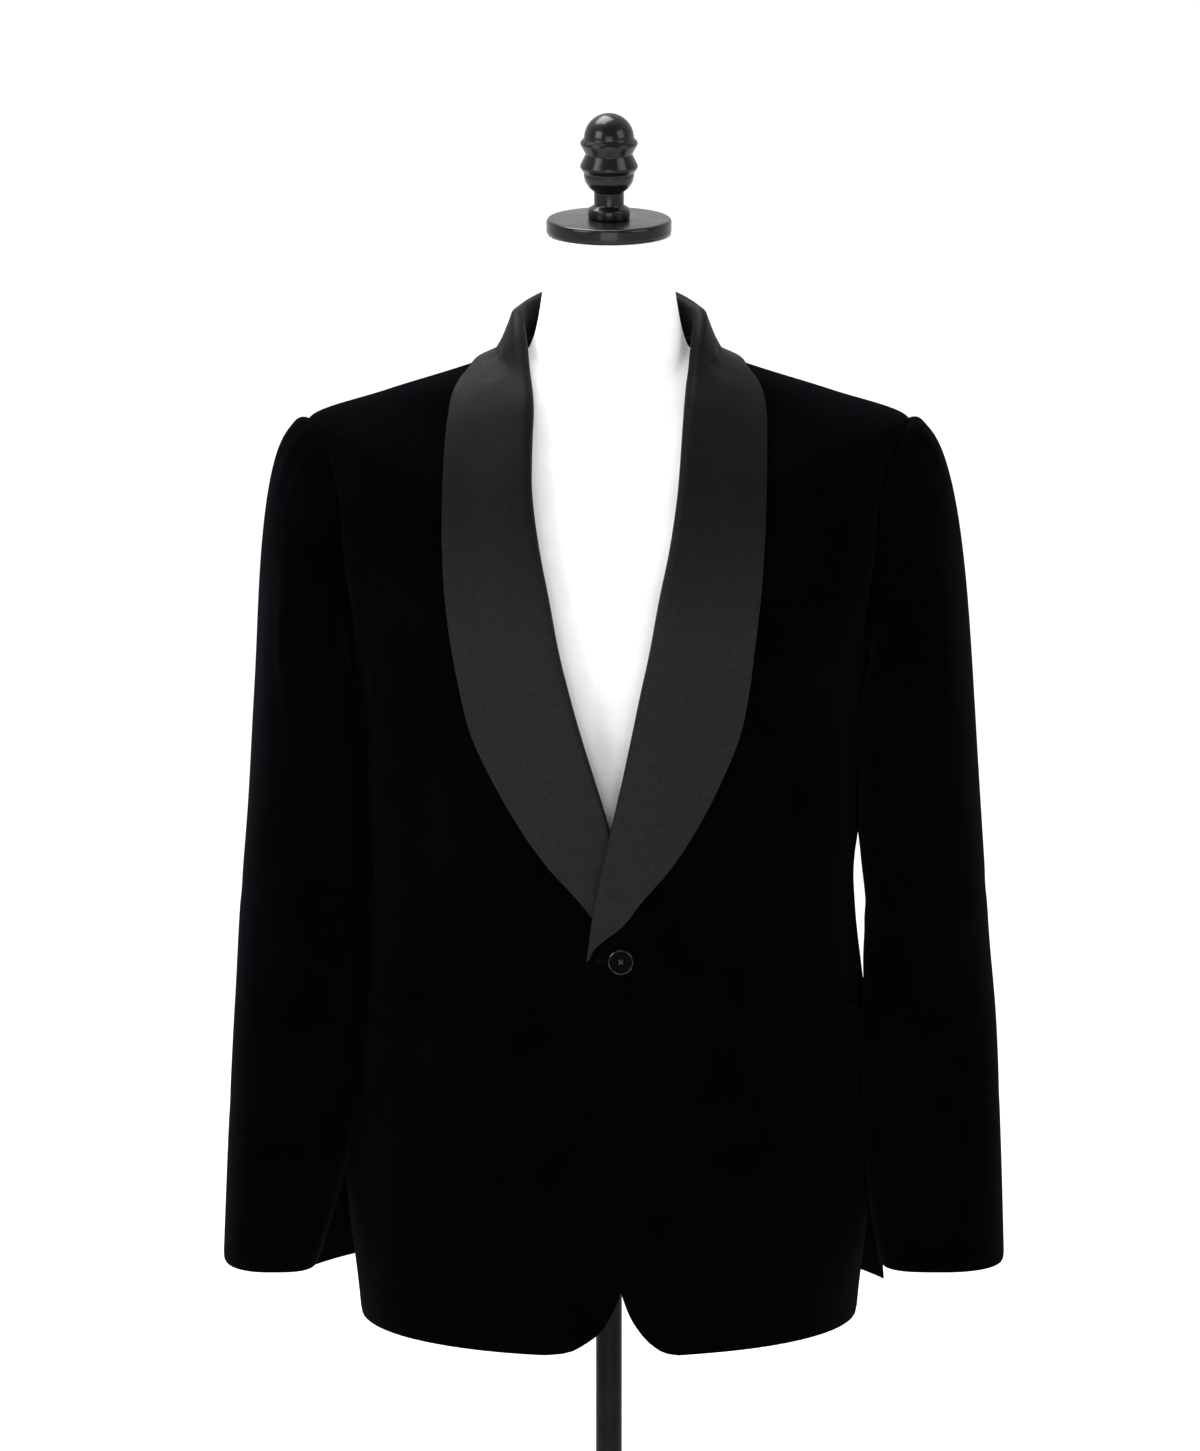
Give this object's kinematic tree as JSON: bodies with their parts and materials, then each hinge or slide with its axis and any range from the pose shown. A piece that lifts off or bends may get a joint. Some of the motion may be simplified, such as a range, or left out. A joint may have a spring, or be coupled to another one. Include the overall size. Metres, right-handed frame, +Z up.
{
  "type": "tuxedo blazer on a dress form",
  "caption": "Black velvet shawl-collar tuxedo jacket with ribbed satin lapels, worn closed on a white limbless dress form with a pole and a round base.",
  "frame": {"origin": "centre of the base's flat underside, under the pole, on the surface the form stands on", "axes": "+Z up along the pole, the jacket's front faces -Y, the wearer's left is +X"},
  "size_m": [0.6104, 0.36, 1.6045],
  "materials": {
    "velvet": "matte cotton velvet with a soft blue-grey sheen at grazing angles",
    "satin": "finely ribbed silk faille, dull sheen",
    "button": "glossy",
    "jersey": "stretched fine white jersey",
    "cap": "black gloss paint",
    "steel": "black powder coat"
  },
  "bodies": {
    "root": {"front_left": "velvet", "front_right": "velvet", "side_left": "velvet", "side_right": "velvet", "back_left": "velvet", "back_right": "velvet", "top_sleeve_left": "velvet", "top_sleeve_right": "velvet", "under_sleeve_left": "velvet", "under_sleeve_right": "velvet", "shawl_collar_left": "satin", "shawl_collar_right": "satin", "chest_welt": "velvet", "hip_jet_upper_left": "velvet", "hip_jet_lower_left": "velvet", "hip_jet_upper_right": "velvet", "hip_jet_lower_right": "velvet", "button": "button", "form_torso": "jersey", "neck_cap": "cap", "finial": "cap", "pole_collar": "steel", "pole": "steel", "base": "steel"}
  },
  "joints": []
}
